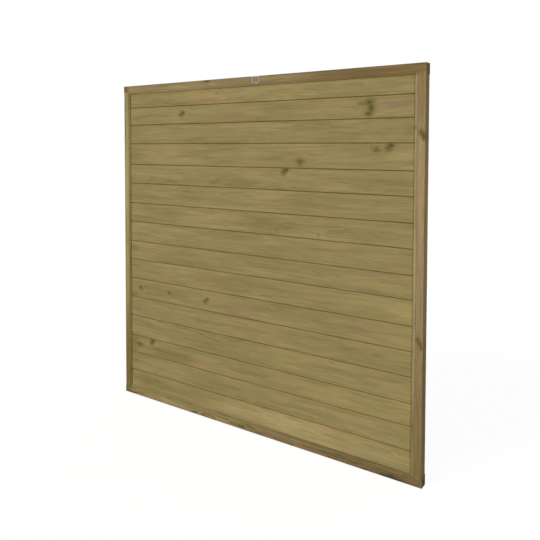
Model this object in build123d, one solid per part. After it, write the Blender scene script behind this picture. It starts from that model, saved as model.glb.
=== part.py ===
from build123d import *
import os

# Horizontal tongue-and-groove fence panel in treated softwood, all sizes in mm.
# X runs along the panel, Y from the front face to the back, Z up.
# The origin is under the middle of the bottom rail, half way through its depth.

# Overall size
PANEL_WIDTH = 1830.0
PANEL_HEIGHT = 1830.0

# Frame section, one planed stock for the rails and the stiles
FRAME_DEPTH = 44.0
FACE_WIDTH = 36.0        # flat front face beside the rebate
REBATE_WIDTH = 12.0      # ledge behind the face, which backs the boards' edges
RAIL_OVERHANG = 1.0      # the rails' ends run past the stiles
FRAME_ARRIS = 3.0        # eased long edges
INNER_ARRIS = 1.0        # eased edge along the rebate

# Boards
BOARD_THICKNESS = 12.0
BOARD_RECESS = 6.0       # the boards lie this far behind the frame's front face
BOARD_COVERS = (111, 108, 101, 117, 113, 110, 115, 107, 115, 111, 116, 110, 121, 109, 100)
NARROWEST_RIP = 30.0     # the closing board is never ripped narrower than this
END_CLEARANCE = 1.0      # each board's end to the rebate's shoulder
TOP_CLEARANCE = 2.0      # room for the top board to swell
JOINT_GAP = 1.0          # shrinkage gap between neighbouring boards
V_WIDTH = 3.0            # each board's share of the V along a joint
V_DEPTH = 3.0
BACK_ARRIS = 1.0
TONGUE_THICKNESS = 4.0
TONGUE_LENGTH = 6.0
TONGUE_TAPER = 0.8       # chamfer at the tongue's tip
TONGUE_FIT = 0.2         # clearance on each cheek of the tongue
TIP_CLEARANCE = 1.0      # clearance past the tongue's tip

# Beads that close the rebate from the front, mitred at the corners
BEAD_QUIRK = 1.0         # the bead lies this far behind the frame's face at its outer edge
BEAD_FALL = 1.8          # its face slopes back by this much to its inner edge
BEAD_ARRIS = 0.8

# Back battens
BATTEN_WIDTH = 38.0
BATTEN_COUNT = 2
BATTEN_ARRIS = 1.5

# Flat-wire brads, through the beads into the frame and through the battens into the boards
BRAD_WIDTH = 1.6
BRAD_THICKNESS = 1.2
BRAD_HEAD_WIDTH = 2.8
BRAD_HEAD_DEPTH = 0.8
BEAD_BRAD_LENGTH = 24.0
BATTEN_BRAD_LENGTH = 35.0
BEAD_BRAD_PITCH = 380.0  # along the lying beads
BEAD_BRAD_INSET = 60.0   # first brad from a lying bead's mitre
BEAD_BRAD_BOARD_COUNT = 3  # boards from one brad to the next along the standing beads

# Flat-wire nails, through the rails into the ends of the stiles and battens
NAIL_WIDTH = 3.4
NAIL_THICKNESS = 2.6
NAIL_HEAD_WIDTH = 6.4
NAIL_HEAD_DEPTH = 1.6
NAIL_LENGTH = 80.0

NAIL_CLEARANCE = 0.1     # round every brad and nail in its hole
CUT_OVERRUN = 1.0        # cuts run this far past the face they open in

# Blank plate on the top rail
PLATE_WIDTH = 43.0
PLATE_HEIGHT = 33.0
PLATE_THICKNESS = 0.8
PLATE_CORNER = 8.0       # the lower corners are round
PLATE_TOP_CORNER = 1.5
PLATE_OFFSET = 37.0      # from the middle of the rail, towards the right
PLATE_DROP = 2.0         # below the rail's top edge
PLATE_RIM = 2.5
PLATE_SINK = 0.25        # the field inside the rim is pressed back
PLATE_PIN_SPACING = 32.0
PLATE_PIN_SHANK = 1.6
PLATE_PIN_HEAD = 3.2
PLATE_PIN_DOME = 0.7
PLATE_PIN_LENGTH = 14.0
PLATE_PIN_CLEARANCE = 0.1

# Places worked out from the sizes above
FRONT = -FRAME_DEPTH / 2
BACK = FRAME_DEPTH / 2
BOARD_FRONT = FRONT + BOARD_RECESS
BOARD_BACK = BOARD_FRONT + BOARD_THICKNESS
LEDGE_WIDTH = FACE_WIDTH + REBATE_WIDTH
STILE_OUTER = PANEL_WIDTH / 2 - RAIL_OVERHANG
SHOULDER_X = STILE_OUTER - FACE_WIDTH
LEDGE_X = STILE_OUTER - LEDGE_WIDTH
SHOULDER_LOW = FACE_WIDTH
SHOULDER_HIGH = PANEL_HEIGHT - FACE_WIDTH
LEDGE_LOW = LEDGE_WIDTH
LEDGE_HIGH = PANEL_HEIGHT - LEDGE_WIDTH
NAIL_FRONT_Y = (FRONT + BOARD_BACK) / 2
NAIL_BACK_Y = (BOARD_BACK + BACK) / 2
STILE_NAIL_X = STILE_OUTER - FACE_WIDTH / 2


def eased(points):
    """Closed outline from (x, y, corner radius) points, as a face."""
    corners = [(x, y) for x, y, radius in points]
    radii = [radius for x, y, radius in points]
    return make_face(FilletPolyline(*corners, radius=radii, close=True))


def across_x(face, length):
    """Stands a face drawn as (Y, Z) across the X axis and extrudes it both ways."""
    return extrude(Plane.YZ * face, amount=length / 2, both=True)


def box_between(low, high):
    """Box from its lowest corner to its highest."""
    size = [b - a for a, b in zip(low, high)]
    centre = [(a + b) / 2 for a, b in zip(low, high)]
    return Pos(*centre) * Box(*size)


def save(shape, name):
    shape.label = name
    export_step(shape, f"parts/{name}.step")


# Fasteners

def flat_nail(width, thickness, head_width, head_depth, length, grow):
    """Flat-wire nail with a T-shaped head at the origin and its point along +Y, or its hole when grown."""
    across, half = width / 2 + grow, thickness / 2 + grow
    head = head_width / 2 + grow
    start = -CUT_OVERRUN if grow else 0
    wire = box_between((-across, start, -half), (across, length + grow, half))
    return wire + box_between((-head, start, -half), (head, head_depth + grow, half))


def brads(places, length, grow=0.0):
    brad = flat_nail(BRAD_WIDTH, BRAD_THICKNESS, BRAD_HEAD_WIDTH, BRAD_HEAD_DEPTH, length, grow)
    return [place * brad for place in places]


def frame_nails(grow=0.0):
    """Nails down through the top rail and up through the bottom one, into the stiles' and battens' ends."""
    nail = flat_nail(NAIL_WIDTH, NAIL_THICKNESS, NAIL_HEAD_WIDTH, NAIL_HEAD_DEPTH, NAIL_LENGTH, grow)
    places = [(side * STILE_NAIL_X, y) for side in (-1, 1) for y in (NAIL_FRONT_Y, NAIL_BACK_Y)]
    places += [(x, NAIL_BACK_Y) for x in batten_centres()]
    downward = [Pos(x, y, PANEL_HEIGHT) * Rot(-90, 0, 0) * nail for x, y in places]
    upward = [Pos(x, y, 0) * Rot(90, 0, 0) * nail for x, y in places]
    return downward + upward


def spread(half_length, inset, pitch):
    """Evenly spaced places about 0, at most pitch apart, between -half_length and half_length."""
    reach = half_length - inset
    gaps = max(1, round(2 * reach / pitch))
    return [-reach + 2 * reach * i / gaps for i in range(gaps + 1)]


def bead_brad_places():
    """Each bead brad's place, in the middle of the bead's width, head flush with its sloping face."""
    y = FRONT + BEAD_QUIRK + BEAD_FALL / 2
    middle = REBATE_WIDTH / 2
    places = []
    for z in (SHOULDER_LOW + middle, SHOULDER_HIGH - middle):
        places += [Pos(x, y, z) for x in spread(SHOULDER_X, BEAD_BRAD_INSET, BEAD_BRAD_PITCH)]
    nailed = {*board_middles()[::BEAD_BRAD_BOARD_COUNT], board_middles()[-1]}
    for x in (middle - SHOULDER_X, SHOULDER_X - middle):
        places += [Pos(x, y, z) * Rot(0, 90, 0) for z in sorted(nailed)]
    return places


def batten_brad_places():
    """One brad for each board in each batten, from the back."""
    return [Pos(x, BACK, z) * Rot(0, 0, 180) for x in batten_centres() for z in board_middles()]


# Boards

def joint_heights():
    """Heights of the boards' meeting lines, from the bottom seat to the ripped top edge."""
    top = SHOULDER_HIGH - TOP_CLEARANCE
    heights = [SHOULDER_LOW]
    course = 0
    while top - heights[-1] > BOARD_COVERS[course % len(BOARD_COVERS)]:
        heights.append(heights[-1] + BOARD_COVERS[course % len(BOARD_COVERS)])
        course += 1
    if top - heights[-1] < NARROWEST_RIP:
        heights.pop()
    return heights + [top]


def board_middles():
    heights = joint_heights()
    return [(low + high) / 2 for low, high in zip(heights, heights[1:])]


def board_section(low, high, grooved, tongued):
    """Board's outline between two meeting lines, drawn as (Y, Z)."""
    bottom = low + JOINT_GAP / 2 if grooved else low
    top = high - JOINT_GAP / 2 if tongued else high
    cheek = BOARD_THICKNESS / 2 - TONGUE_THICKNESS / 2
    front, back = BOARD_FRONT, BOARD_BACK
    section = [(front, bottom), (back, bottom), (back, top), (front, top)]
    face = make_face(Polyline(*section, close=True))
    backs = face.vertices().filter_by_position(Axis.X, back - 0.1, back + 0.1)
    face = chamfer(backs, BACK_ARRIS)
    if tongued:
        tip = top + TONGUE_LENGTH
        tongue = Polyline(
            (front + cheek, top - CUT_OVERRUN), (back - cheek, top - CUT_OVERRUN),
            (back - cheek, tip - TONGUE_TAPER),
            (back - cheek - TONGUE_TAPER, tip), (front + cheek + TONGUE_TAPER, tip),
            (front + cheek, tip - TONGUE_TAPER), close=True,
        )
        face += make_face(tongue)
        face -= v_cut(top, -1)
    if grooved:
        depth = TONGUE_LENGTH - JOINT_GAP + TIP_CLEARANCE
        near, far = front + cheek - TONGUE_FIT, back - cheek + TONGUE_FIT
        groove = Polyline(
            (near, bottom - CUT_OVERRUN), (far, bottom - CUT_OVERRUN),
            (far, bottom + depth), (near, bottom + depth), close=True,
        )
        face -= make_face(groove)
        face -= v_cut(bottom, 1)
    return face


def v_cut(edge, inward):
    """Triangle that bevels a board's front edge, inward being 1 for a lower edge and -1 for an upper."""
    corner = Polyline(
        (BOARD_FRONT, edge), (BOARD_FRONT + V_DEPTH, edge),
        (BOARD_FRONT, edge + inward * V_WIDTH), close=True,
    )
    return make_face(corner)


def boards():
    """Every board by name: the bottom one has no groove and the top one no tongue."""
    heights = joint_heights()
    length = 2 * (SHOULDER_X - END_CLEARANCE)
    last = len(heights) - 2
    named = {}
    for i in range(last + 1):
        section = board_section(heights[i], heights[i + 1], grooved=i > 0, tongued=i < last)
        name = {0: "bottom_board", last: "top_board"}.get(i, f"board_{i + 1:02d}")
        named[name] = across_x(section, length)
    return named


# Frame

def rail_blank():
    """Top rail before its holes: a flat face, and a rebate along its lower front edge."""
    high, shoulder, ledge = PANEL_HEIGHT, SHOULDER_HIGH, LEDGE_HIGH
    section = eased([
        (FRONT, high, FRAME_ARRIS), (FRONT, shoulder, INNER_ARRIS), (BOARD_BACK, shoulder, 0),
        (BOARD_BACK, ledge, 0), (BACK, ledge, INNER_ARRIS), (BACK, high, FRAME_ARRIS),
    ])
    return across_x(section, PANEL_WIDTH)


def stile_blank():
    """Right stile before its holes. Its front laps into the rails' rebates, and its back butts the ledges."""
    section = eased([
        (STILE_OUTER, FRONT, FRAME_ARRIS), (STILE_OUTER, BACK, FRAME_ARRIS), (LEDGE_X, BACK, INNER_ARRIS),
        (LEDGE_X, BOARD_BACK, 0), (SHOULDER_X, BOARD_BACK, 0), (SHOULDER_X, FRONT, INNER_ARRIS),
    ])
    stile = Pos(0, 0, SHOULDER_LOW) * extrude(section, amount=SHOULDER_HIGH - SHOULDER_LOW)
    for low, high in ((SHOULDER_LOW, LEDGE_LOW), (LEDGE_HIGH, SHOULDER_HIGH)):
        stile -= box_between((LEDGE_X - CUT_OVERRUN, BOARD_BACK, low),
                             (STILE_OUTER + CUT_OVERRUN, BACK + CUT_OVERRUN, high))
    return stile


def batten_centres():
    """The battens part the width between the stiles evenly."""
    bay = 2 * LEDGE_X / (BATTEN_COUNT + 1)
    return [-LEDGE_X + bay * (i + 1) for i in range(BATTEN_COUNT)]


def batten_blank(centre):
    """Back batten between the rails' ledges, flat against the boards and flush with the frame's back."""
    half = BATTEN_WIDTH / 2
    section = eased([
        (centre - half, BOARD_BACK, 0), (centre + half, BOARD_BACK, 0),
        (centre + half, BACK, BATTEN_ARRIS), (centre - half, BACK, BATTEN_ARRIS),
    ])
    return Pos(0, 0, LEDGE_LOW) * extrude(section, amount=LEDGE_HIGH - LEDGE_LOW)


def bead_section():
    """Bead's outline as (Y, distance in from the rebate's shoulder), sloping towards the boards."""
    outer = FRONT + BEAD_QUIRK
    return [
        (BOARD_FRONT, 0, 0), (outer, 0, BEAD_ARRIS / 2),
        (outer + BEAD_FALL, REBATE_WIDTH, BEAD_ARRIS), (BOARD_FRONT, REBATE_WIDTH, 0),
    ]


def lying_bead():
    """Lower bead along the bottom rail, mitred at both ends."""
    section = eased([(y, SHOULDER_LOW + inward, radius) for y, inward, radius in bead_section()])
    bead = across_x(section, 2 * SHOULDER_X)
    for side in (-1, 1):
        bead -= mitre(side * SHOULDER_X, SHOULDER_LOW, -side, 1, upright=False)
    return bead


def standing_bead():
    """Right bead along the right stile, mitred at both ends."""
    section = eased([(SHOULDER_X - inward, y, radius) for y, inward, radius in bead_section()])
    bead = Pos(0, 0, SHOULDER_LOW) * extrude(section, amount=SHOULDER_HIGH - SHOULDER_LOW)
    bead -= mitre(SHOULDER_X, SHOULDER_LOW, -1, 1, upright=True)
    bead -= mitre(SHOULDER_X, SHOULDER_HIGH, -1, -1, upright=True)
    return bead


def mitre(x, z, into_x, into_z, upright):
    """Wedge that cuts a bead's end at 45 degrees at the rebate's corner (x, z)."""
    far_x, far_z = x + into_x * REBATE_WIDTH, z + into_z * REBATE_WIDTH
    # The wedge lies on the neighbouring bead's side of the diagonal.
    neighbour = (far_x, z) if upright else (x, far_z)
    corner = Polyline((x, z), (far_x, far_z), neighbour, close=True)
    return extrude(Plane.XZ * make_face(corner), amount=FRAME_DEPTH, both=True)


# Plate

def plate():
    """Thin plate with round lower corners, and a field pressed back inside its rim."""
    half = PLATE_WIDTH / 2
    high = PANEL_HEIGHT - PLATE_DROP
    low = high - PLATE_HEIGHT
    blank = plate_layer(half, low, high, 0, PLATE_THICKNESS, FRONT)
    field = plate_layer(half, low, high, PLATE_RIM, PLATE_SINK, FRONT - PLATE_THICKNESS + PLATE_SINK)
    return blank - field


def plate_layer(half, low, high, inset, thickness, back):
    """Plate's outline drawn in by inset, as a layer whose back is at the given Y."""
    lower, upper = PLATE_CORNER - inset, max(PLATE_TOP_CORNER - inset, 0)
    half -= inset
    outline = eased([(-half, low + inset, lower), (half, low + inset, lower),
                     (half, high - inset, upper), (-half, high - inset, upper)])
    return Pos(PLATE_OFFSET, back, 0) * extrude(Plane.XZ * outline, amount=thickness)


def plate_pin_form(grow):
    """Dome-headed pin, head's seat at the origin and point along +Y, or its hole when grown."""
    shank = PLATE_PIN_SHANK / 2 + grow
    from_seat = (Align.CENTER, Align.CENTER, Align.MIN)
    pin = Rot(-90, 0, 0) * Cylinder(shank, PLATE_PIN_LENGTH + grow, align=from_seat)
    if grow:
        return pin + Pos(0, -CUT_OVERRUN, 0) * pin
    head = PLATE_PIN_HEAD / 2
    dome = Polyline((0, 0), (head, 0), (head * 0.7, -PLATE_PIN_DOME), (0, -PLATE_PIN_DOME), close=True)
    return pin + revolve(make_face(dome), axis=Axis.Y)


def plate_pin_places():
    middle = PANEL_HEIGHT - PLATE_DROP - PLATE_HEIGHT / 2
    seat = FRONT - PLATE_THICKNESS + PLATE_SINK
    return [Pos(PLATE_OFFSET + side * PLATE_PIN_SPACING / 2, seat, middle) for side in (-1, 1)]


def plate_pins(grow=0.0):
    return [place * plate_pin_form(grow) for place in plate_pin_places()]


def cut(blank, tools):
    """Cuts from a blank the holes that reach its box, and leaves the others out."""
    box = blank.bounding_box()
    for tool in tools:
        reach = tool.bounding_box()
        if all(a < d and c < b for a, b, c, d in zip(box.min, box.max, reach.min, reach.max)):
            blank = blank - tool
    return blank


def main():
    os.makedirs("parts", exist_ok=True)
    flip_height = Plane.XY.offset(PANEL_HEIGHT / 2)
    bead_holes = brads(bead_brad_places(), BEAD_BRAD_LENGTH, NAIL_CLEARANCE)
    batten_holes = brads(batten_brad_places(), BATTEN_BRAD_LENGTH, NAIL_CLEARANCE)
    holes = frame_nails(NAIL_CLEARANCE) + bead_holes + batten_holes + plate_pins(PLATE_PIN_CLEARANCE)

    top, right = rail_blank(), stile_blank()
    save(cut(top, holes), "top_rail")
    save(cut(mirror(top, about=flip_height), holes), "bottom_rail")
    save(cut(right, holes), "right_stile")
    save(cut(mirror(right, about=Plane.YZ), holes), "left_stile")

    low_bead, right_bead = lying_bead(), standing_bead()
    save(cut(low_bead, bead_holes), "bottom_bead")
    save(cut(mirror(low_bead, about=flip_height), bead_holes), "top_bead")
    save(cut(right_bead, bead_holes), "right_bead")
    save(cut(mirror(right_bead, about=Plane.YZ), bead_holes), "left_bead")

    for name, board in boards().items():
        save(cut(board, bead_holes + batten_holes), name)
    for i, centre in enumerate(batten_centres()):
        save(cut(batten_blank(centre), holes), f"back_batten_{i + 1}")

    save(Compound(children=frame_nails()), "frame_nails")
    save(Compound(children=brads(bead_brad_places(), BEAD_BRAD_LENGTH)), "bead_brads")
    save(Compound(children=brads(batten_brad_places(), BATTEN_BRAD_LENGTH)), "batten_brads")
    save(cut(plate(), plate_pins(PLATE_PIN_CLEARANCE)), "blank_plate")
    save(Compound(children=plate_pins()), "plate_pins")


main()
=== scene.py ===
import math

import bpy
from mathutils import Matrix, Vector


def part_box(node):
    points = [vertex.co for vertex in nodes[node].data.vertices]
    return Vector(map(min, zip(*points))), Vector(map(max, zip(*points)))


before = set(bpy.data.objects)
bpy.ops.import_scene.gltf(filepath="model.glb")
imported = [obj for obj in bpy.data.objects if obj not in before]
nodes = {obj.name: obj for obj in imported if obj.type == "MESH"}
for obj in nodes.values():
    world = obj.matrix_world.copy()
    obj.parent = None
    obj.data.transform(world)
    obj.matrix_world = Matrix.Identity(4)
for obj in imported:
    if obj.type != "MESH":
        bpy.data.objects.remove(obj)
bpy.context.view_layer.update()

# Horizontal tongue-and-groove fence panel in pressure-treated softwood.
# Metres throughout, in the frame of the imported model: X along the panel, Y from front to back,
# Z up. Marks on the timber, and the sizes of its patterns, are in mm.

MM = 0.001


def corners(piece):
    """A CAD node's lowest and highest corner, in mm."""
    return [Vector([round(c / MM, 1) for c in corner]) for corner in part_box(piece)]


stile, bead = corners("right_stile"), corners("right_bead")
FRONT, BACK = stile[0].y, stile[1].y               # the frame's two faces
OUTER = stile[1].x                                 # a stile's outer face
SHOULDER, BEAD_INNER = bead[1].x, bead[0].x        # a standing bead's edges: stile, boards
BEAD_LOW, BEAD_HIGH = corners("bottom_bead")[1].z, corners("top_bead")[0].z
TOP = corners("top_rail")[1].z
TONGUE = 6                                         # stands above a board's visible top edge
BOARDS = ["bottom_board"] + [f"board_{i:02d}" for i in range(2, 16)] + ["top_board"]


def linear(hex_colour):
    """sRGB hex to the linear colour that a shader takes."""
    channels = [int(hex_colour[i:i + 2], 16) / 255 for i in (1, 3, 5)]
    return [c / 12.92 if c <= 0.04045 else ((c + 0.055) / 1.055) ** 2.4 for c in channels] + [1.0]


def add(tree, kind, inputs=None, **settings):
    """Adds a node with its settings; its inputs come from values, nodes or other nodes' outputs."""
    node = tree.nodes.new("ShaderNode" + kind)
    for name, value in settings.items():
        setattr(node, name, value)
    for socket, value in (inputs or {}).items():
        if isinstance(value, bpy.types.Node):
            value = value.outputs[0]
        if isinstance(value, bpy.types.NodeSocket):
            tree.links.new(value, node.inputs[socket])
        else:
            node.inputs[socket].default_value = value
    return node


def material(name):
    """New material, its emptied node tree and its output node."""
    made = bpy.data.materials.new(name)
    made.use_nodes = True
    made.node_tree.nodes.clear()
    return made, made.node_tree, add(made.node_tree, "OutputMaterial")


def dress(names, made):
    """Gives the named CAD nodes one material."""
    for name in names:
        nodes[name].data.materials.clear()
        nodes[name].data.materials.append(made)


# Camera, fitted to the edges of the frame in a 540 x 540 picture

camera_data = bpy.data.cameras.new("camera")
camera_data.sensor_width = 36.0
camera_data.lens = 38.96
camera_data.shift_y = -0.185
camera = bpy.data.objects.new("camera", camera_data)
camera.location = (1.736, -2.438, 1.466)
camera.rotation_euler = [math.radians(a) for a in (87.88, -0.129, 33.675)]
bpy.context.scene.collection.objects.link(camera)
bpy.context.scene.camera = camera
bpy.context.scene.view_settings.view_transform = "Standard"


# Studio: white surroundings and a floor of matt white paper, which shows only a soft shadow. The
# key is from the front, the left and above, and a fill from behind.

AMBIENT = 0.25
KEY, KEY_SPREAD = 2.25, 30
BACK_FILL, BACK_FILL_SPREAD = 1.5, 50
FLOOR_SIZE = 60.0
FLOOR_GLOW = 1.085    # strength at which the floor is as white as the surroundings
FLOOR_PLAIN = 0.85    # share of the floor that glows so; the rest takes the panel's shadow


def seen_by_eye(tree):
    """1 for the rays that show the surroundings themselves, 0 for those that light the panel."""
    path = add(tree, "LightPath")
    seen = add(tree, "Math", {0: path.outputs["Is Camera Ray"], 1: path.outputs["Is Glossy Ray"]})
    return add(tree, "Math", {0: seen, 1: path.outputs["Is Transmission Ray"]}, use_clamp=True)


def lamp(name, direction, strength, spread):
    """Distant lamp in the given direction from the panel, as wide as spread, in degrees."""
    data = bpy.data.lights.new(name, "SUN")
    data.energy = strength
    data.angle = math.radians(spread)
    made = bpy.data.objects.new(name, data)
    made.rotation_euler = Vector(direction).to_track_quat("Z", "Y").to_euler()
    bpy.context.scene.collection.objects.link(made)


world = bpy.data.worlds.new("studio")
bpy.context.scene.world = world
world.use_nodes = True
tree = world.node_tree
tree.nodes.clear()
soft = add(tree, "Background", {"Color": linear("#ffffff"), "Strength": AMBIENT})
white = add(tree, "Background", {"Color": linear("#ffffff"), "Strength": 1.0})
both = add(tree, "MixShader", {0: seen_by_eye(tree), 1: soft, 2: white})
add(tree, "OutputWorld", {"Surface": both})

lamp("key", (-0.42, -0.74, 0.54), KEY, KEY_SPREAD)
lamp("back_fill", (0.12, 0.85, 0.42), BACK_FILL, BACK_FILL_SPREAD)

bpy.ops.object.select_all(action="DESELECT")
bpy.ops.mesh.primitive_plane_add(size=FLOOR_SIZE, location=(0, 0, 0))
floor = bpy.context.object
floor.name = "floor"
made, tree, output = material("white_paper_floor")
paper = add(tree, "BsdfDiffuse", {"Color": linear("#e6e6e4")})
glow = add(tree, "Emission", {"Color": linear("#ffffff"), "Strength": FLOOR_GLOW})
share = add(tree, "Math", {0: seen_by_eye(tree), 1: FLOOR_PLAIN}, operation="MULTIPLY")
both = add(tree, "MixShader", {0: share, 1: paper, 2: glow})
tree.links.new(both.outputs[0], output.inputs["Surface"])
floor.data.materials.append(made)


# Timber: pressure-treated pine, planed. The copper salts leave it olive, with the growth rings
# browner. The plane leaves a dull face in which only the rings and the fibre stand up a little.
# The grain is cut from a log: rings round a heart that wanders along the piece, so that faces,
# edges and ends agree.

LOG_STEP = 3.7      # metres along the log from one piece to the next
RING = 3.2          # mean width of a growth ring
SPELLS = 70.0       # spells of wider or closer rings in each metre of radius
SPELL_SHIFT = 2.6   # rings by which such a spell moves the count

# How dark a ring is, by the share of its width: pale spring wood that slowly turns to dark summer
# wood, and then stops short
RING_RAMP = ((0.0, 0.05), (0.35, 0.12), (0.65, 0.45), (0.85, 1.0), (0.94, 0.9), (1.0, 0.10))

# Patterns: sizes along the grain, into the wood and across
FIBRE = (130, 1.5, 3)      # drawn coarser than real fibre so that it shows
STREAK = (420, 7, 28)      # bands where the sapwood took more or less of the salts
BLOTCH = (90, 13, 13)
CLOUD = (450, 55, 55)
BEND, BEND_REACH = (600, 200, 150), (0, 30, 40)      # of the heart
RIPPLE, RIPPLE_REACH = (70, 20, 20), (0, 3, 3)       # of the fibre
RAGGED, RAGGED_REACH = (9, 20, 9), (13, 0, 13)       # edges of knots and patches, in X, Y, Z

FREE = 1e6                 # a mark's half size where it runs right through
KNOT_RINGS = 16.0          # radians of a knot's own rings in each of its half sizes
BOARD_SLANT = (0.006, 0.004)    # radians between a board and its log

# Tints, by which a colour is multiplied: lighter and pinker places
BLUSH = (1.18, 0.93, 1.04)
PINK = (1.05, 0.96, 1.12)
HAZE = (0.95, 0.89, 1.03)
FAIR = (1.08, 1.08, 1.06)
PALE = (1.16, 1.16, 1.18)
BLOND = (1.30, 1.23, 1.27)
DRY = (1.24, 1.27, 1.46)
SUNNY = (1.28, 1.29, 1.36)

# Darker ones: where the wood took more of the salts, where dirt gathers, and painted shade in
# joints, corners and on sides that the key doesn't reach
MUTED = (0.90, 0.91, 0.87)
SHADE = (0.82, 0.82, 0.76)
GREENED = (0.82, 0.88, 0.76)
GRIMY = (0.78, 0.80, 0.68)
# painted shade along the beads' edges and on the right stile's outer side
PAINTED_SHADE = (0.88, 0.82, 0.70)
STAIN = (0.72, 0.70, 0.60)
MOSS = (0.60, 0.66, 0.50)
RUDDY = (0.83, 0.75, 0.69)
UMBER = (0.79, 0.70, 0.61)
LOAM = (0.69, 0.66, 0.61)
DUSK = (0.62, 0.55, 0.43)
# painted shade, with some dirt, in the V of the boards' joints and against the right bead
JOINT_SHADE_AND_DIRT = (0.76, 0.68, 0.46)

# Tones: reflectance in plain light, of spring wood and of summer wood, but for the left bead's,
# which is darkened as painted shade
OLIVE = ("#968759", "#6f6038")
TAN = ("#998761", "#72603f")
BROWN = ("#917f58", "#655436")
# darker than the wood's own tone: painted shade of the left stile on the left bead
SHADED_HONEY = ("#8a784a", "#63522c")
ASH = ("#988b67", "#706344")
SAGE = ("#958760", "#6e603c")

GREEN_KNOT, BROWN_KNOT, DARK_KNOT, FAINT_KNOT = "#525630", "#685c34", "#4f4829", "#7b7045"

# Knots as the picture shows them: x from the panel's middle, z from its foot, half width, half
# height and the core's colour
KNOTS = {
    "board_15": [(-454, 1664, 8, 6, DARK_KNOT), (-468, 1652, 12, 8, BROWN_KNOT),
                 (654, 1674, 13, 9, GREEN_KNOT), (618, 1669, 12, 5, FAINT_KNOT),
                 (664, 1647, 12, 14, GREEN_KNOT), (648, 1621, 14, 8, GREEN_KNOT)],
    "board_13": [(296, 1402, 13, 8, BROWN_KNOT), (689, 1462, 14, 8, BROWN_KNOT),
                 (761, 1482, 13, 6, DARK_KNOT), (746, 1468, 12, 9, BROWN_KNOT)],
    "board_12": [(218, 1361, 11, 6, DARK_KNOT), (203, 1347, 10, 9, BROWN_KNOT)],
    "board_06": [(-790, 646, 9, 7, BROWN_KNOT), (-563, 646, 8, 6, BROWN_KNOT),
                 (-284, 649, 8, 5, DARK_KNOT), (-299, 633, 10, 8, BROWN_KNOT)],
    "board_03": [(-795, 309, 15, 7, BROWN_KNOT), (-692, 346, 12, 5, DARK_KNOT),
                 (-702, 331, 12, 9, BROWN_KNOT)],
    "top_rail": [(-283, 1823, 15, 5, DARK_KNOT)],
    "right_stile": [(893, 1537, 8, 10, BROWN_KNOT), (904, 1522, 6, 9, BROWN_KNOT),
                    (888, 648, 7, 9, BROWN_KNOT), (898, 630, 7, 9, BROWN_KNOT),
                    (907, 1511, 4, 9, BROWN_KNOT), (906, 611, 4, 8, BROWN_KNOT)],
    "right_bead": [(871, 1555, 3, 4, BROWN_KNOT)],
}

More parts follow.
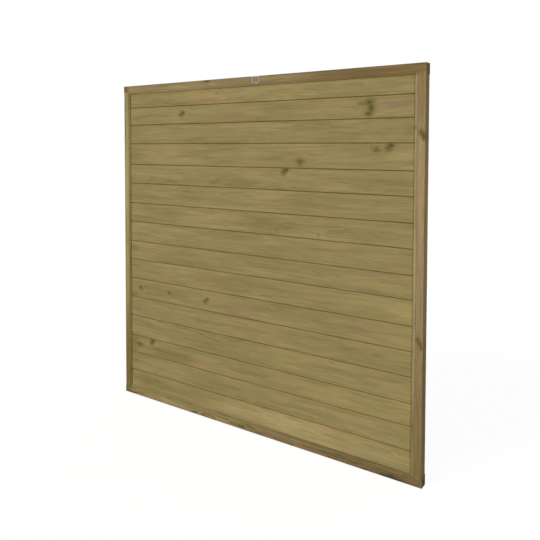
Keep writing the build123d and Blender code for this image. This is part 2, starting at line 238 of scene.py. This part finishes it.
# Patches of another colour, and of painted shade in the corner under the top rail: x, z, half
# width, half height and the tint
PATCHES = {
    "top_board": [(-272, 1744, 60, 19, BLUSH), (-700, 1745, 260, 60, MUTED),
                  (-320, 1716, 210, 13, SHADE), (760, 1706, 70, 5, SUNNY)],
    "board_15": [(-438, 1676, 10, 6, PALE), (690, 1665, 90, 30, PINK),
                 (-80, 1650, 150, 20, PINK), (400, 1656, 190, 16, HAZE),
                 (790, 1662, 90, 22, HAZE), (760, 1699, 70, 5, SUNNY)],
    "board_14": [(-150, 1590, 110, 12, PINK), (850, 1545, 40, 40, MUTED)],
    "board_13": [(800, 1425, 70, 26, PALE), (-850, 1430, 90, 30, MUTED),
                 (-215, 1520, 60, 10, PINK)],
    "board_12": [(50, 1356, 230, 12, HAZE), (225, 1335, 60, 12, PALE)],
    "board_11": [(-840, 1200, 200, 60, MUTED), (155, 1244, 50, 9, HAZE)],
    "board_10": [(180, 1090, 200, 50, MUTED), (399, 1052, 13, 15, SHADE),
                 (409, 1126, 18, 11, BLUSH)],
    "board_09": [(-595, 940, 60, 9, HAZE), (769, 930, 20, 10, BLUSH)],
    "board_08": [(-845, 874, 50, 34, SHADE), (545, 817, 70, 5, SUNNY)],
    "board_07": [(-622, 730, 40, 17, BLUSH), (-260, 731, 52, 19, BLUSH),
                 (850, 754, 460, 80, FAIR), (375, 744, 26, 13, BLUSH)],
    "board_06": [(-840, 602, 34, 16, STAIN), (660, 660, 150, 22, PINK),
                 (-60, 640, 180, 20, PINK)],
    "board_05": [(185, 462, 80, 9, HAZE)],
    "board_04": [(430, 362, 160, 5, SUNNY)],
    "board_03": [(-860, 322, 90, 46, STAIN), (-665, 335, 14, 9, PALE),
                 (-520, 290, 190, 44, SHADE), (-720, 345, 170, 10, SHADE),
                 (-841, 268, 40, 12, SHADE), (-325, 285, 58, 20, BLUSH),
                 (330, 284, 28, 16, BLUSH), (750, 311, 500, 80, FAIR)],
    "board_02": [(-845, 195, 30, 30, MUTED), (165, 240, 70, 9, HAZE)],
    "bottom_board": [(-700, 88, 170, 50, SHADE), (330, 98, 620, 80, SUNNY),
                     (456, 138, 48, 13, BLUSH), (500, 57, 150, 8, PALE)],
    "top_rail": [(-450, 1812, 150, 30, PALE), (-886, 1800, 14, 14, RUDDY),
                 (-244, 1808, 34, 14, PALE), (915, 1812, 620, 30, UMBER)],
    "bottom_rail": [(-580, 18, 600, 30, FAIR), (-380, 26, 300, 16, FAIR),
                    (-160, 18, 120, 30, FAIR), (915, 18, 900, 30, LOAM),
                    (512, 34, 24, 8, STAIN), (842, 31, 12, 6, STAIN)],
    "left_stile": [(-896, 36, 30, 520, DUSK), (-896, 1300, 30, 700, DRY)],
    # right_stile: the last patch is painted shade in the corner under the top rail
    "right_stile": [(896, 36, 30, 760, STAIN), (896, 1215, 30, 360, BLOND),
                    (896, 1794, 30, 260, RUDDY), (881, 256, 9, 14, BLUSH),
                    (882, 1792, 14, 14, STAIN)],
    "left_bead": [(-872, 36, 30, 460, SHADE)],
    # right_bead: the last patch is painted shade in the corner under the top rail
    "right_bead": [(872, 36, 30, 450, STAIN), (872, 1120, 30, 420, FAIR),
                   (872, 1788, 14, 16, STAIN)],
    "top_bead": [(878, 1788, 700, 30, UMBER), (-700, 1788, 400, 30, FAIR)],
    "bottom_bead": [(878, 42, 1000, 30, LOAM), (-700, 42, 400, 30, MUTED)],
}


def patchy(tree, vector, size, detail, roughness=0.5):
    """Uneven pattern whose spots have the given size, in mm, along each axis."""
    scaled = add(tree, "VectorMath", {
        0: vector, 1: [1 / (s * MM) for s in size],
    }, operation="MULTIPLY")
    return add(tree, "TexNoise", {
        "Vector": scaled, "Scale": 1.0, "Detail": detail, "Roughness": roughness,
    })


def moved(tree, vector, by, reach):
    """Vector moved either way by a pattern, by up to half of reach, in mm, along each axis."""
    offset = add(tree, "VectorMath", {
        0: by.outputs["Color"], 1: (0.5, 0.5, 0.5),
    }, operation="SUBTRACT")
    return add(tree, "VectorMath", {
        0: offset, 1: [r * MM for r in reach], 2: vector,
    }, operation="MULTIPLY_ADD")


def distance(tree, vector, centre, size):
    """Distance from a centre, 1 on the ellipsoid of the given half sizes, all in mm."""
    local = add(tree, "Mapping", {
        "Vector": vector, "Location": [c * MM for c in centre], "Scale": [s * MM for s in size],
    }, vector_type="TEXTURE")
    return add(tree, "VectorMath", {0: local}, operation="LENGTH").outputs["Value"]


def tinted(tree, colour, tint, value, near, far, inside, outside):
    """Colour times a tint, by the share inside where the value is near, and outside where far."""
    mask = add(tree, "MapRange", {
        "Value": value, "From Min": near, "From Max": far, "To Min": inside, "To Max": outside,
    }, interpolation_type="SMOOTHSTEP")
    factor = add(tree, "Mix", {0: mask, 4: (1, 1, 1), 5: tint}, data_type="VECTOR").outputs[1]
    return add(tree, "VectorMath", {0: colour, 1: factor}, operation="MULTIPLY").outputs[0]


def in_the_log(tree, panel, piece, upright, heart, seed, slant):
    """Place in the log that a piece was cut from: X along it, Y and Z from its heart.

    The heart is at (depth, across) from the piece's middle, in mm.
    """
    low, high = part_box(piece)
    middle = (low + high) / 2
    turn = (0, math.radians(90), 0) if upright else (0, 0, 0)
    shift = (-middle.z, -middle.y, middle.x) if upright else (-middle.x, -middle.y, -middle.z)
    place = add(tree, "Mapping", {"Vector": panel, "Rotation": turn, "Location": shift})
    return add(tree, "Mapping", {
        "Vector": place, "Rotation": (0, slant[0], slant[1]),
        "Location": (seed * LOG_STEP, -heart[0] * MM, -heart[1] * MM),
    })


def growth(tree, log, panel, knots):
    """The log's grain with its bends, the radius from its heart, and the rings' darkness."""
    bent = moved(tree, log, patchy(tree, log, BEND, 2.0), BEND_REACH)
    bent = moved(tree, bent, patchy(tree, log, RIPPLE, 1.0), RIPPLE_REACH)
    across = add(tree, "VectorMath", {0: bent, 1: (0, 1, 1)}, operation="MULTIPLY")
    radius = add(tree, "VectorMath", {0: across}, operation="LENGTH").outputs["Value"]

    # Each knot pushes the rings round itself, out to a few times its size
    for x, z, wide, tall, _ in knots:
        push = add(tree, "MapRange", {
            "Value": distance(tree, panel, (x, 0, z), (wide * 3, FREE, tall * 3)),
            "From Min": 0.0, "From Max": 1.5, "To Min": min(wide, tall) * 2 * MM, "To Max": 0.0,
        }, interpolation_type="SMOOTHSTEP")
        radius = add(tree, "Math", {0: radius, 1: push}, operation="ADD")

    spells = add(tree, "TexNoise", {
        "W": radius, "Scale": SPELLS, "Detail": 2.0,
    }, noise_dimensions="1D")
    spells = add(tree, "Math", {0: spells, 1: SPELL_SHIFT}, operation="MULTIPLY")
    count = add(tree, "Math", {
        0: radius, 1: 1 / (RING * MM), 2: spells,
    }, operation="MULTIPLY_ADD")
    ring = add(tree, "ValToRGB", {0: add(tree, "Math", {0: count}, operation="FRACT")})
    ramp = ring.color_ramp.elements
    for share, _ in RING_RAMP[1:-1]:
        ramp.new(share)
    for element, (_, dark) in zip(ramp, RING_RAMP):
        element.color = (dark, dark, dark, 1)
    return bent, radius, ring


def clear_wood(tree, log, bent, radius, ring, tone, figure):
    """Colour of the wood away from its marks, with its fibre and its clouds."""
    # Fibre and streaks keep to the rings
    apart = add(tree, "SeparateXYZ", {0: bent})
    sheet = add(tree, "CombineXYZ", {0: apart.outputs[0], 1: radius, 2: apart.outputs[2]})
    fibre = patchy(tree, sheet, FIBRE, 3.0, 0.6)
    streak = patchy(tree, sheet, STREAK, 3.0)
    blotch = patchy(tree, log, BLOTCH, 3.0)
    cloud = patchy(tree, log, CLOUD, 3.0)

    early, late = tone
    strength = add(tree, "MapRange", {
        "Value": streak, "From Min": 0.3, "From Max": 0.7,
        "To Min": 0.10 * figure, "To Max": 0.65 * figure,
    }, interpolation_type="SMOOTHSTEP")
    darker = add(tree, "Math", {0: ring, 1: strength}, operation="MULTIPLY")
    colour = add(tree, "Mix", {
        0: darker, 6: linear(early), 7: linear(late),
    }, data_type="RGBA").outputs[2]

    # Each pattern makes it darker and lighter by up to its swing, between two of its values
    shade = 1.0
    for pattern, low, high, swing in (
        (fibre, 0.25, 0.75, 0.10 * figure), (streak, 0.3, 0.7, -0.05),
        (blotch, 0.3, 0.7, 0.055), (cloud, 0.3, 0.7, 0.09),
    ):
        part = add(tree, "MapRange", {
            "Value": pattern, "From Min": low, "From Max": high,
            "To Min": 1 - swing, "To Max": 1 + swing,
        }, interpolation_type="SMOOTHSTEP")
        shade = add(tree, "Math", {0: shade, 1: part}, operation="MULTIPLY")
    colour = add(tree, "VectorMath", {0: colour, "Scale": shade}, operation="SCALE").outputs[0]

    # The salts leave it pinker here and there
    colour = tinted(tree, colour, PINK, cloud.outputs["Color"], 0.5, 0.75, 0.0, 0.8)
    return colour, fibre


def knotted(tree, colour, relief, ragged, knots):
    """Colour and relief with the knots: a stained surround, and a core with rings of its own."""
    for x, z, wide, tall, core in knots:
        off = distance(tree, ragged, (x, 0, z), (wide, FREE, tall))
        colour = tinted(tree, colour, STAIN, off, 0.6, 3.2, 0.9, 0.0)
        rings = add(tree, "Math", {0: off, 1: KNOT_RINGS}, operation="MULTIPLY")
        rings = add(tree, "MapRange", {
            "Value": add(tree, "Math", {0: rings}, operation="SINE"),
            "From Min": -1.0, "From Max": 1.0, "To Min": 0.88, "To Max": 1.12,
        }, interpolation_type="SMOOTHSTEP")
        body = add(tree, "VectorMath", {
            0: linear(core)[:3], "Scale": rings,
        }, operation="SCALE").outputs[0]
        mask = add(tree, "MapRange", {
            "Value": off, "From Min": 0.2, "From Max": 1.5, "To Min": 0.85, "To Max": 0.0,
        }, interpolation_type="SMOOTHSTEP")
        colour = add(tree, "Mix", {0: mask, 4: colour, 5: body}, data_type="VECTOR").outputs[1]
        relief = add(tree, "Math", {0: mask, 1: 0.8, 2: relief}, operation="MULTIPLY_ADD")
    return colour, relief


def softwood(piece, upright, heart, seed, tone, figure, seams, slant=(0.0, 0.0)):
    """Planed pine with rings round a heart at (depth, across) from the piece's middle, in mm.

    The tone is the spring and summer wood's colour, and the figure how strongly the rings show.
    Seams are (centre, reach, tint): dirt, painted shade and painted light round a line or a
    face, in mm, which runs along the axes for which the centre gives None.
    """
    made, tree, output = material(f"planed_treated_pine_{piece}")
    knots = KNOTS.get(piece, [])
    where = add(tree, "TexCoord")
    panel = where.outputs["Object"]
    log = in_the_log(tree, panel, piece, upright, heart, seed, slant)
    bent, radius, ring = growth(tree, log, panel, knots)
    colour, fibre = clear_wood(tree, log, bent, radius, ring, tone, figure)

    ragged = moved(tree, panel, patchy(tree, panel, RAGGED, 4.0, 0.6), RAGGED_REACH)
    for x, z, wide, tall, tint in PATCHES.get(piece, []):
        off = distance(tree, ragged, (x, 0, z), (wide, FREE, tall))
        colour = tinted(tree, colour, tint, off, 0.2, 1.3, 1.0, 0.0)

    relief = add(tree, "Math", {0: ring, 1: 0.5, 2: fibre}, operation="MULTIPLY_ADD")
    colour, relief = knotted(tree, colour, relief, ragged, knots)

    # End grain drank more of the salts
    face = add(tree, "SeparateXYZ", {0: where.outputs["Normal"]})
    end = add(tree, "Math", {0: face.outputs["Z" if upright else "X"]}, operation="ABSOLUTE")
    colour = tinted(tree, colour, STAIN, end, 0.7, 0.95, 0.0, 1.0)

    # Dirt, and painted shade and painted light, where pieces meet and along their edges
    for centre, reach, tint in seams:
        size = [FREE if c is None else reach for c in centre]
        off = distance(tree, panel, [c or 0 for c in centre], size)
        colour = tinted(tree, colour, tint, off, 0.4, 1.0, 1.0, 0.0)

    # Summer wood comes off the plane a little smoother
    rough = add(tree, "MapRange", {
        "Value": ring, "From Min": 0.0, "From Max": 1.0, "To Min": 0.90, "To Max": 0.80,
    }, interpolation_type="SMOOTHSTEP")
    bump = add(tree, "Bump", {"Height": relief, "Strength": 0.6, "Distance": 0.2 * MM})
    shader = add(tree, "BsdfPrincipled", {
        "Base Color": colour, "Roughness": rough, "Specular IOR Level": 0.05, "Normal": bump,
    })
    tree.links.new(shader.outputs[0], output.inputs["Surface"])
    return made


# Boards, each from a log whose heart lies behind it and above or below its middle. Painted shade,
# with some dirt, darkens them against the right bead, more so near the ground, and in the V of each
# joint.

BOARD_FIGURE = 0.55
HEART_DEPTHS = (55, 90, 40, 120)             # taken in turn
HEART_HEIGHTS = (20, -30, 0, 45, -12)
LOW_BOARDS = 5                               # how many are near the ground
BEAD_SHADE_AND_DIRT, LOW_BEAD_SHADE_AND_DIRT = 6, 9              # reach of the painted shade and dirt
FOOT_SHADE_AND_DIRT, LOWEST_JOINT_SHADE_AND_DIRT, HEAD_SHADE_AND_DIRT = 3.5, 5.5, 2

for i, name in enumerate(BOARDS):
    low, high = corners(name)
    foot, head = low.z, high.z - (0 if name == "top_board" else TONGUE)
    # Painted shade, with some dirt, against the right bead and in the V of each joint
    seams = [((BEAD_INNER - 2, None, None), LOW_BEAD_SHADE_AND_DIRT if i < LOW_BOARDS else BEAD_SHADE_AND_DIRT, JOINT_SHADE_AND_DIRT),
             ((None, None, foot), LOWEST_JOINT_SHADE_AND_DIRT if i == 1 else FOOT_SHADE_AND_DIRT, JOINT_SHADE_AND_DIRT),
             ((None, None, head), HEAD_SHADE_AND_DIRT, JOINT_SHADE_AND_DIRT)]
    heart = (HEART_DEPTHS[i % len(HEART_DEPTHS)], HEART_HEIGHTS[i % len(HEART_HEIGHTS)])
    slant = (BOARD_SLANT[0] * (-1) ** i, BOARD_SLANT[1])
    dress([name], softwood(name, False, heart, i + 1, OLIVE, BOARD_FIGURE, seams, slant))

# Each frame piece: upright or not, heart, tone, figure and seams
FRAME_PIECES = {
    "top_rail": (False, (50, 30), BROWN, 0.9,
                 [((-OUTER, None, None), 46, MOSS), ((None, FRONT, TOP), 5, UMBER)]),
    "bottom_rail": (False, (62, -14), BROWN, 2.0, [((-OUTER, None, None), 60, GRIMY)]),
    "left_stile": (True, (45, 25), OLIVE, 1.0, [((-OUTER, FRONT, None), 14, GREENED)]),
    # the right stile's outer side is darkened as painted shade, darker still towards its back edge;
    # painted shade along its inner edge, against the bead
    "right_stile": (True, (60, -30), TAN, 0.85,
                    [((OUTER, BACK, None), 9, UMBER), ((OUTER, None, None), 2, PAINTED_SHADE),
                     ((SHOULDER, None, None), 3, STAIN)]),
    # the top bead takes the rail's browner tone as painted shade under the top rail, with painted
    # shade along its lower edge
    "top_bead": (False, (30, 10), BROWN, 0.6, [((None, None, BEAD_HIGH + 4), 4, PAINTED_SHADE)]),
    # painted shade along the bottom bead's upper edge, where it meets the boards
    "bottom_bead": (False, (35, -8), SAGE, 0.6, [((None, None, BEAD_LOW - 4), 4, PAINTED_SHADE)]),
    # the left bead's darker tone is painted shade from the left stile; its inner side, which the
    # key doesn't reach, is painted lighter: painted light
    "left_bead": (True, (28, 12), SHADED_HONEY, 0.6, [((-BEAD_INNER, None, None), 1.5, PALE)]),
    # painted shade along the right bead's edge against the stile
    "right_bead": (True, (40, 6), ASH, 0.6, [((SHOULDER, None, None), 1.5, PAINTED_SHADE)]),
    "back_batten_1": (True, (50, 8), TAN, 0.9, []),
    "back_batten_2": (True, (34, -18), OLIVE, 0.9, []),
}
FIRST_FRAME_SEED = 21

for i, (name, (upright, heart, tone, figure, seams)) in enumerate(FRAME_PIECES.items()):
    dress([name], softwood(name, upright, heart, FIRST_FRAME_SEED + i, tone, figure, seams))


# Metal. The nails and brads are drawn steel wire with a coat of zinc, which shows a dull, mottled
# grey. The blank plate is rolled aluminium, brushed along its length and dulled by the weather,
# with its raised rim and its pins' heads rubbed paler than the field between them.

ZINC_MOTTLE = (900, 900, 900)      # spots in each metre, so one in 1.1 mm
BRUSHING = (120, 900, 1800)        # one in 8 mm along the plate and one in 0.6 mm across
PLATE_RIM = -22.67 * MM            # the rim and the pins' heads stand in front of it
NO_RIM = -1.0                      # in front of the whole panel, so that nothing is paler


def metal(name, colour, pale, roughness, grain, deep):
    """Dull metal with a mottled or brushed grain, paler in front of the given depth, in metres."""
    made, tree, output = material(name)
    where = add(tree, "TexCoord")
    stretched = add(tree, "VectorMath", {
        0: where.outputs["Object"], 1: grain,
    }, operation="MULTIPLY")
    uneven = add(tree, "TexNoise", {"Vector": stretched, "Scale": 1.0, "Detail": 3.0})
    front = add(tree, "MapRange", {
        "Value": add(tree, "SeparateXYZ", {0: where.outputs["Object"]}).outputs["Y"],
        "From Min": deep - 0.05 * MM, "From Max": deep + 0.05 * MM, "To Min": 1.0, "To Max": 0.0,
    })
    tone = add(tree, "Mix", {0: front, 6: linear(colour), 7: linear(pale)}, data_type="RGBA")
    shade = add(tree, "MapRange", {
        "Value": uneven, "From Min": 0.3, "From Max": 0.7, "To Min": 0.88, "To Max": 1.1,
    })
    tone = add(tree, "VectorMath", {0: tone.outputs[2], "Scale": shade}, operation="SCALE")
    rough = add(tree, "MapRange", {
        "Value": uneven, "To Min": roughness - 0.1, "To Max": roughness + 0.1,
    })
    bump = add(tree, "Bump", {"Height": uneven, "Strength": 0.3, "Distance": 0.04 * MM})
    shader = add(tree, "BsdfPrincipled", {
        "Base Color": tone, "Metallic": 1.0, "Roughness": rough, "Normal": bump,
    })
    tree.links.new(shader.outputs[0], output.inputs["Surface"])
    return made


dress(["frame_nails", "bead_brads", "batten_brads"],
      metal("drawn_zinc_coated_steel", "#8b8b84", "#8b8b84", 0.55, ZINC_MOTTLE, NO_RIM))
dress(["blank_plate", "plate_pins"],
      metal("brushed_dull_aluminium", "#606256", "#92907e", 0.5, BRUSHING, PLATE_RIM))
